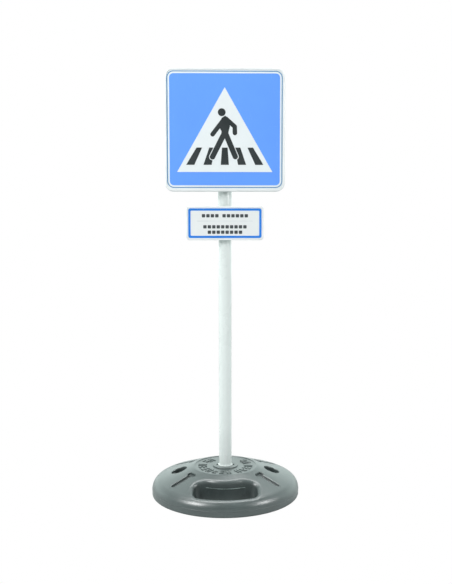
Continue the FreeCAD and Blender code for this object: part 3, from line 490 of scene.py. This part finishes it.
def lacquer_finish(tint, name, foot_low, foot_high):
    """Glossy lacquer with a slight orange peel, rubbed where the lower end is handled."""
    made = Finish(name, roughness=0.3, coat=0.35, coat_roughness=0.12)
    grain = made.effect("grain", size=420.0, drift=16.0)
    scuffs = made.effect("scuffs", size=70.0, cover=0.61)["Mask"]
    foot = made.effect("fade", low=foot_low, high=foot_high)["Mask"]
    dust = made.effect("dust", amount=0.10)["Mask"]
    plain = made.mix(grain["Tone"], tint, shaded(tint, 0.965))
    handled = made.mix(made.times(foot, 0.14), plain, shaded(tint, 0.45))
    rubbed = made.mix(made.times(scuffs, made.plus(made.times(foot, 0.30), 0.05)), handled,
                      shaded(tint, 0.5))
    made.colour(made.mix(dust, rubbed, shaded(tint, 0.8)))
    made.roughness(made.plus(grain["Tone"], scuffs), 0.24, 0.38)
    made.bump(grain["Height"], 0.05 * MM, 0.25)
    return made.material


def panel_finish(tints, name, centre_z, half_height):
    """White moulded plastic, a touch dirty along its lower edge."""
    made = Finish(name, roughness=0.36, coat=0.1)
    grain = made.effect("grain", size=1000.0, drift=8.0)
    scuffs = made.effect("scuffs", size=38.0, cover=0.62)["Mask"]
    low = made.effect("fade", low=centre_z - half_height, high=centre_z - 0.8 * half_height)["Mask"]
    dust = made.effect("dust", amount=0.16)["Mask"]
    plain = made.mix(grain["Tone"], tints.panel_plastic, shaded(tints.panel_plastic, 0.965))
    marked = made.mix(made.times(scuffs, 0.10), plain, shaded(tints.panel_plastic, 0.6))
    made.colour(made.mix(made.most(dust, made.times(low, 0.10)), marked, shaded(tints.panel_plastic, 0.72)))
    made.roughness(grain["Tone"], 0.32, 0.44)
    made.bump(grain["Height"], 0.05 * MM, 0.3)
    return made.material


def sheeting_finish(name, tint, contrast=0.05):
    """Reflective sheeting: sealed cells under a clear, slightly glossy face."""
    made = Finish(name, roughness=0.3, coat=0.25, coat_roughness=0.15)
    cells = made.effect("cells", size=330.0)
    grain = made.effect("grain", size=2400.0, drift=6.0)
    scuffs = made.effect("scuffs", size=30.0, cover=0.63)["Mask"]
    toned = made.mix(grain["Tone"], tint, shaded(tint, 1.0 - contrast))
    celled = made.mix(made.times(cells["Line"], 0.10), toned, shaded(tint, 0.75))
    made.colour(made.mix(made.times(scuffs, 0.05), celled, (0.9, 0.92, 0.94)))
    made.roughness(made.plus(made.times(cells["Line"], 0.5), made.times(scuffs, 0.4)), 0.3, 0.42)
    made.bump(cells["Height"], 0.02 * MM, 0.5)
    return made.material


def print_finish(name, tint):
    """Screen-printed ink with a fine tooth."""
    made = Finish(name, roughness=0.42)
    grain = made.effect("grain", size=3000.0, drift=20.0)
    scuffs = made.effect("scuffs", size=40.0, cover=0.62)["Mask"]
    toned = made.mix(grain["Tone"], shaded(tint, 0.92), shaded(tint, 1.12))
    made.colour(made.mix(made.times(scuffs, 0.12), toned, shaded(tint, 2.2)))
    made.roughness(grain["Tone"], 0.36, 0.5)
    made.bump(grain["Height"], 0.015 * MM, 0.4)
    return made.material


def steel_finish(tints):
    """Plated screw steel, dulled where a driver has scratched it."""
    made = Finish("Screw Steel", roughness=0.3, metallic=1.0)
    grain = made.effect("grain", size=2600.0, drift=200.0)
    scuffs = made.effect("scuffs", size=260.0, cover=0.55)["Mask"]
    made.colour(made.mix(made.most(made.times(scuffs, 0.4), made.times(grain["Tone"], 0.3)), tints.steel,
                         shaded(tints.steel, 0.55)))
    made.roughness(made.plus(made.times(grain["Tone"], 0.5), made.times(scuffs, 0.5)), 0.22, 0.5)
    made.bump(made.plus(grain["Height"], scuffs), 0.02 * MM, 0.5)
    return made.material


MATERIALS = {}


def shared(name, make):
    """A finish that several operators use, made once."""
    if name not in MATERIALS:
        MATERIALS[name] = make()
    return MATERIALS[name]


def dress(material, *nodes):
    """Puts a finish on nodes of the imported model."""
    for node in nodes:
        for slot in NODES[node].material_slots:
            slot.material = material


# --- Mesh building ---

def finish_piece(name, shape, material, body):
    """Closes a bmesh into a finished piece that rides on a body of the frame."""
    bmesh.ops.remove_doubles(shape, verts=shape.verts, dist=WELD)
    bmesh.ops.recalc_face_normals(shape, faces=shape.faces)
    mesh = bpy.data.meshes.new(name)
    shape.to_mesh(mesh)
    shape.free()
    mesh.shade_smooth()
    mesh.set_sharp_from_angle(angle=math.radians(SHARP_FROM))
    mesh.materials.append(material)
    piece = bpy.data.objects.new(name, mesh)
    bpy.context.scene.collection.objects.link(piece)
    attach(piece, body)


def bar(shape, size, turn, place, edge):
    """Small block with its edges rounded, turned about the upright axis and set in place."""
    made = bmesh.ops.create_cube(shape, size=1.0)["verts"]
    bmesh.ops.scale(shape, verts=made, vec=size)
    edges = {link for vert in made for link in vert.link_edges}
    rounded = bmesh.ops.bevel(shape, geom=list(edges), offset=edge, offset_type="OFFSET", segments=2,
                              profile=0.5, affect="EDGES", material=-1, clamp_overlap=True)
    whole = list({vert for face in rounded["faces"] for vert in face.verts})
    bmesh.ops.transform(shape, matrix=Matrix.Translation(place) @ Matrix.Rotation(turn, 4, "Z"), verts=whole)


def ring_bead(shape, centre, radius, bead, sweep, steps):
    """Round bead swept about an upright axis, closed at its ends when it isn't a full ring."""
    full = sweep == FULL_TURN
    spot = Matrix.Translation(centre + Vector((radius, 0, 0))) @ UPRIGHT_DISC
    disc = bmesh.ops.create_circle(shape, cap_ends=not full, segments=BEAD_SIDES, radius=bead, matrix=spot)
    faces = {face for vert in disc["verts"] for face in vert.link_faces}
    edges = {edge for vert in disc["verts"] for edge in vert.link_edges}
    geometry = list(disc["verts"]) + list(edges) + list(faces)
    bmesh.ops.spin(shape, geom=geometry, cent=centre, axis=(0, 0, 1), angle=sweep, steps=steps,
                   use_merge=full, use_duplicate=False)


# --- Operators ---

def colours():
    return bpy.context.scene.signpost_colours


def sizes():
    return bpy.context.scene.signpost_sizes


def upright_span(node):
    """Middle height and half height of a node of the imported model."""
    low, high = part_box(node)
    return (low.z + high.z) / 2, (high.z - low.z) / 2


def base_material():
    return shared("base", lambda: base_finish(colours()))


def cap_material():
    return shared("cap", lambda: cap_finish(colours()))


def panel_material():
    return shared("panel", lambda: panel_finish(colours(), "Panel Plastic", *upright_span("sign_panel")))


class SIGNPOST_OT_base(bpy.types.Operator):
    """Gives the base and its socket their moulded plastic"""

    bl_idname = "signpost.base"
    bl_label = "Base and socket"

    def execute(self, context):
        dress(base_material(), "base_shell", "socket_collar")
        dress(water_finish(colours()), "water_ballast")
        return {"FINISHED"}


class SIGNPOST_OT_hub_marks(bpy.types.Operator):
    """Adds the ring of plain raised marks on the hub"""

    bl_idname = "signpost.hub_marks"
    bl_label = "Hub marks"

    def execute(self, context):
        shape = bmesh.new()
        for start, count in MARK_ROWS:
            for index in range(count):
                turn = math.radians(start) + index * math.radians(MARK_PITCH)
                add_mark(shape, MARK_KINDS[index % len(MARK_KINDS)], turn, sizes())
        finish_piece("hub_marks", shape, base_material(), "base")
        return {"FINISHED"}


def add_mark(shape, bars, turn, given):
    """One abstract mark, half sunk in the hub's floor, at a bearing about the pole."""
    for aside, along, wide, tall in bars:
        reach = given.mark_ring_radius + along * given.mark_length
        bearing = turn + aside * given.mark_width / reach
        place = Vector((reach * math.cos(bearing), reach * math.sin(bearing), HUB_FLOOR))
        size = (tall * given.mark_length, wide * given.mark_width, 2 * given.mark_height)
        bar(shape, size, turn, place, given.mark_height * given.mark_edge)


class SIGNPOST_OT_parting_lines(bpy.types.Operator):
    """Adds the fine moulding lines round the base and inside the handle opening"""

    bl_idname = "signpost.parting_lines"
    bl_label = "Moulding lines"

    def execute(self, context):
        handle_line = strip_of_rear_wall(sizes())
        thicken(handle_line, sizes().parting_proud)
        # The handle's moulding line carries a painted highlight, a far paler plastic than its wall.
        finish_piece("handle_moulding_line", handle_line, flash_highlight_finish(colours()), "base")
        ring = bmesh.new()
        top_of_side = Vector((0, 0, SIDE_HEIGHT))
        ring_bead(ring, top_of_side, BASE_RADIUS, sizes().side_bead, FULL_TURN, SIDE_BEAD_STEPS)
        finish_piece("side_moulding_line", ring, base_material(), "base")
        return {"FINISHED"}


def strip_of_rear_wall(given):
    """Narrow level strip, cut from the shell's own wall on the hub's side of the handle opening."""
    strip = bmesh.new()
    strip.from_mesh(NODES["base_shell"].data)
    bmesh.ops.remove_doubles(strip, verts=strip.verts, dist=WELD)
    cuts = (
        ((0, 0, given.parting_height), (0, 0, -1)),
        ((0, 0, given.parting_height + given.parting_width), (0, 0, 1)),
        ((-given.parting_reach, 0, 0), (-1, 0, 0)),
        ((given.parting_reach, 0, 0), (1, 0, 0)),
    )
    for spot, outward in cuts:
        everything = list(strip.verts) + list(strip.edges) + list(strip.faces)
        bmesh.ops.bisect_plane(strip, geom=everything, dist=ON_PLANE, plane_co=spot, plane_no=outward,
                               clear_outer=True)
    elsewhere = [face for face in strip.faces if not on_rear_wall(face.calc_center_median())]
    bmesh.ops.delete(strip, geom=elsewhere, context="FACES")
    if not strip.faces:
        raise RuntimeError("the handle opening has no wall at the moulding line")
    return strip


def thicken(strip, proud):
    """Turns an open strip into a closed band that stands out from the wall under it."""
    walled = bmesh.ops.extrude_face_region(strip, geom=list(strip.faces))
    for item in walled["geom"]:
        if isinstance(item, bmesh.types.BMVert):
            item.co += item.normal * proud


def on_rear_wall(point):
    """Whether a point lies on the hub's side of the handle opening."""
    return REAR_WALL_FRONT < point.y < REAR_WALL_BACK


class SIGNPOST_OT_fill_cap(bpy.types.Operator):
    """Finishes the fill cap and its gasket and adds the cap's thread"""

    bl_idname = "signpost.fill_cap"
    bl_label = "Fill cap"

    def execute(self, context):
        given = sizes()
        dress(cap_material(), "fill_cap")
        dress(rubber_finish(colours()), "cap_gasket")
        low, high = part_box("fill_cap")
        centre = (low + high) / 2
        start = low.z + THREAD_START
        shape = bmesh.new()
        spot = Matrix.Translation((centre.x + given.spigot_radius, centre.y, start)) @ UPRIGHT_DISC
        bmesh.ops.create_circle(shape, cap_ends=True, segments=THREAD_SIDES, radius=given.thread_depth,
                                matrix=spot)
        geometry = list(shape.verts) + list(shape.edges) + list(shape.faces)
        rise = given.thread_pitch * THREAD_TURNS / THREAD_STEPS
        bmesh.ops.spin(shape, geom=geometry, cent=(centre.x, centre.y, start), axis=(0, 0, 1),
                       dvec=(0, 0, rise), angle=THREAD_TURNS * FULL_TURN, steps=THREAD_STEPS,
                       use_duplicate=False)
        finish_piece("cap_thread", shape, cap_material(), "cap")
        return {"FINISHED"}


class SIGNPOST_OT_pole(bpy.types.Operator):
    """Lacquers the pole, its foot, the stem and their end pieces"""

    bl_idname = "signpost.pole"
    bl_label = "Pole and stem"

    def execute(self, context):
        lacquer = colours().pole_lacquer
        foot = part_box("pole_foot")[1].z
        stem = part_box("sign_stem")[0].z
        dress(lacquer_finish(lacquer, "Pole Lacquer", foot, foot + HANDLED_LENGTH), "pole_tube")
        dress(lacquer_finish(lacquer, "Foot Lacquer", 0.0, HANDLED_LENGTH), "pole_foot")
        # Painted shadow: the stem's lacquer is darkened for the sign's shadow on it.
        darker = shaded(lacquer, STEM_PAINTED_SHADOW)
        dress(lacquer_finish(darker, "Stem Lacquer", stem, stem + STEM_HANDLED_LENGTH), "sign_stem")
        dress(cap_material(), "pole_plug", "stem_stop")
        dress(panel_material(), "stem_cap")
        return {"FINISHED"}


class SIGNPOST_OT_sign(bpy.types.Operator):
    """Finishes the sign's housing, sheet and printed films"""

    bl_idname = "signpost.sign"
    bl_label = "Sign"

    def execute(self, context):
        tints = colours()
        dress(panel_material(), "sign_panel", "sign_back_cover")
        dress(sheeting_finish("White Sheeting", tints.white_sheet), "sign_sheet", "triangle_film")
        dress(sheeting_finish("Outline Film", tints.outline_blue), "outline_film")
        dress(sheeting_finish("Blue Sheeting", tints.sign_blue), "blue_field_film")
        dress(print_finish("Dark Print", tints.dark_print), "figure_film", "stripes_film")
        return {"FINISHED"}


class SIGNPOST_OT_plate(bpy.types.Operator):
    """Finishes the lower plate, its sheet and its films"""

    bl_idname = "signpost.plate"
    bl_label = "Plate"

    def execute(self, context):
        tints = colours()
        dress(panel_finish(tints, "Plate Plastic", *upright_span("plate_panel")), "plate_panel")
        dress(sheeting_finish("Plate Sheeting", tints.plate_sheet), "plate_sheet")
        dress(sheeting_finish("Plate Border", tints.plate_blue, 0.12), "plate_border_film")
        dress(print_finish("Divider Print", tints.divider), "plate_divider_film")
        dress(print_finish("Plate Print", tints.plate_print), "plate_dashes_film")
        return {"FINISHED"}


class SIGNPOST_OT_clamps(bpy.types.Operator):
    """Finishes the clamp bands and screws and adds the bands' stiffening ribs"""

    bl_idname = "signpost.clamps"
    bl_label = "Clamps"

    def execute(self, context):
        given = sizes()
        dress(panel_material(), "lower_sign_band", "upper_sign_band", "plate_band")
        dress(steel_finish(colours()), "sign_band_screws", "plate_band_screws", "sign_cover_screws")
        for node, body in CLAMP_BANDS:
            middle, half = upright_span(node)
            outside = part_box(node)[1].y
            shape = bmesh.new()
            for height in (middle - half / 2, middle + half / 2):
                ring_bead(shape, Vector((0, 0, height)), outside, given.band_rib, FULL_TURN / 2, RIB_STEPS)
            finish_piece(node + "_ribs", shape, panel_material(), body)
        return {"FINISHED"}


class SIGNPOST_OT_stage(bpy.types.Operator):
    """Sets the floor, the soft lights and the camera"""

    bl_idname = "signpost.stage"
    bl_label = "Studio"

    def execute(self, context):
        scene = context.scene
        scene.view_settings.view_transform = "Standard"
        make_floor()
        make_world(scene)
        for name, place, size, power in LIGHTS:
            make_light(name, Vector(place), size, power)
        make_camera(scene)
        return {"FINISHED"}


def make_floor():
    """Wide pale disc that the sign stands on."""
    floor = bmesh.new()
    bmesh.ops.create_circle(floor, cap_ends=True, segments=64, radius=FLOOR_RADIUS)
    mesh = bpy.data.meshes.new("studio_floor")
    floor.to_mesh(mesh)
    floor.free()
    made = Finish("Studio Floor", roughness=0.9, specular=0.0)
    made.colour(made.mix(made.effect("grain", size=3.0, drift=1.0)["Tone"], *FLOOR_TONES))
    show_white(made.tree, made.shader.outputs[0], made.tree.nodes["Material Output"].inputs["Surface"])
    mesh.materials.append(made.material)
    piece = bpy.data.objects.new("studio_floor", mesh)
    bpy.context.scene.collection.objects.link(piece)


def show_white(tree, lit, target):
    """Shows plain white to the camera and the given shader to every other ray."""
    seen = add(tree, "ShaderNodeEmission" if lit.node.type == "BSDF_PRINCIPLED" else "ShaderNodeBackground")
    seen.inputs["Color"].default_value = (1.0, 1.0, 1.0, 1.0)
    mixed = add(tree, "ShaderNodeMixShader")
    join_up(tree, add(tree, "ShaderNodeLightPath").outputs["Is Camera Ray"], mixed.inputs[0])
    join_up(tree, lit, mixed.inputs[1])
    join_up(tree, seen.outputs[0], mixed.inputs[2])
    join_up(tree, mixed.outputs[0], target)


def make_world(scene):
    """Surroundings that light mostly from behind and a little from the left, less so overhead."""
    scene.world = bpy.data.worlds.new("studio_world")
    scene.world.use_nodes = True
    tree = scene.world.node_tree
    tree.nodes.clear()
    parts = add(tree, "ShaderNodeSeparateXYZ")
    join_up(tree, add(tree, "ShaderNodeTexCoord").outputs["Generated"], parts.inputs[0])
    back = map_range(tree, parts.outputs["Y"], -0.3, 0.7)
    low = map_range(tree, parts.outputs["Z"], 0.2, 0.95, 1.0, 0.1)
    left = map_range(tree, parts.outputs["X"], -0.9, -0.1, 1.0, 0.0)
    front = mix_colour(tree, maths(tree, "MULTIPLY", left, low), WORLD_PLAIN, WORLD_LEFT)
    lit = add(tree, "ShaderNodeBackground")
    everywhere = mix_colour(tree, maths(tree, "MULTIPLY", back, low), front, WORLD_BACK)
    join_up(tree, everywhere, lit.inputs["Color"])
    show_white(tree, lit.outputs[0], add(tree, "ShaderNodeOutputWorld").inputs["Surface"])


def make_light(name, place, size, power):
    """Soft rectangular light turned towards the middle of the pole."""
    data = bpy.data.lights.new(name, "AREA")
    data.shape = "RECTANGLE"
    data.size, data.size_y = size
    data.energy = power
    light = bpy.data.objects.new(name, data)
    light.location = place
    light.rotation_mode = "QUATERNION"
    light.rotation_quaternion = (LIGHT_TARGET - place).to_track_quat("-Z", "Y")
    bpy.context.scene.collection.objects.link(light)


def make_camera(scene):
    """Two thirds of the way up the sign, just over two metres in front of the pole."""
    data = bpy.data.cameras.new("camera")
    data.sensor_width = CAMERA_SENSOR
    data.lens = CAMERA_LENS
    data.shift_x = CAMERA_SHIFT
    data.clip_start = CAMERA_NEAR
    down = math.radians(CAMERA_DOWN)
    aside = math.radians(CAMERA_ASIDE)
    camera = bpy.data.objects.new("camera", data)
    camera.location = CAMERA_PLACE
    ahead = Vector((math.sin(aside) * math.cos(down), math.cos(aside) * math.cos(down), -math.sin(down)))
    camera.rotation_mode = "QUATERNION"
    camera.rotation_quaternion = ahead.to_track_quat("-Z", "Y")
    scene.collection.objects.link(camera)
    scene.camera = camera


OPERATORS = (
    SIGNPOST_OT_base,
    SIGNPOST_OT_hub_marks,
    SIGNPOST_OT_parting_lines,
    SIGNPOST_OT_fill_cap,
    SIGNPOST_OT_pole,
    SIGNPOST_OT_sign,
    SIGNPOST_OT_plate,
    SIGNPOST_OT_clamps,
    SIGNPOST_OT_stage,
)


class SIGNPOST_PT_panel(bpy.types.Panel):
    """Lists the signpost's operators, sizes and colours"""

    bl_idname = "SIGNPOST_PT_panel"
    bl_label = "Signpost"
    bl_space_type = "VIEW_3D"
    bl_region_type = "UI"
    bl_category = "Signpost"

    def draw(self, context):
        for operator in OPERATORS:
            self.layout.operator(operator.bl_idname)
        for group in (context.scene.signpost_sizes, context.scene.signpost_colours):
            column = self.layout.column()
            for key in group.bl_rna.properties.keys():
                if key not in ("rna_type", "name"):
                    column.prop(group, key)


CLASSES = (SignpostSizes, SignpostColours, *OPERATORS, SIGNPOST_PT_panel)


def register():
    for item in CLASSES:
        bpy.utils.register_class(item)
    bpy.types.Scene.signpost_sizes = bpy.props.PointerProperty(type=SignpostSizes)
    bpy.types.Scene.signpost_colours = bpy.props.PointerProperty(type=SignpostColours)


def unregister():
    del bpy.types.Scene.signpost_colours
    del bpy.types.Scene.signpost_sizes
    for item in reversed(CLASSES):
        bpy.utils.unregister_class(item)


def main():
    """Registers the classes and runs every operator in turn."""
    register()
    for operator in OPERATORS:
        family, name = operator.bl_idname.split(".")
        getattr(getattr(bpy.ops, family), name)()


if __name__ == "__main__":
    main()
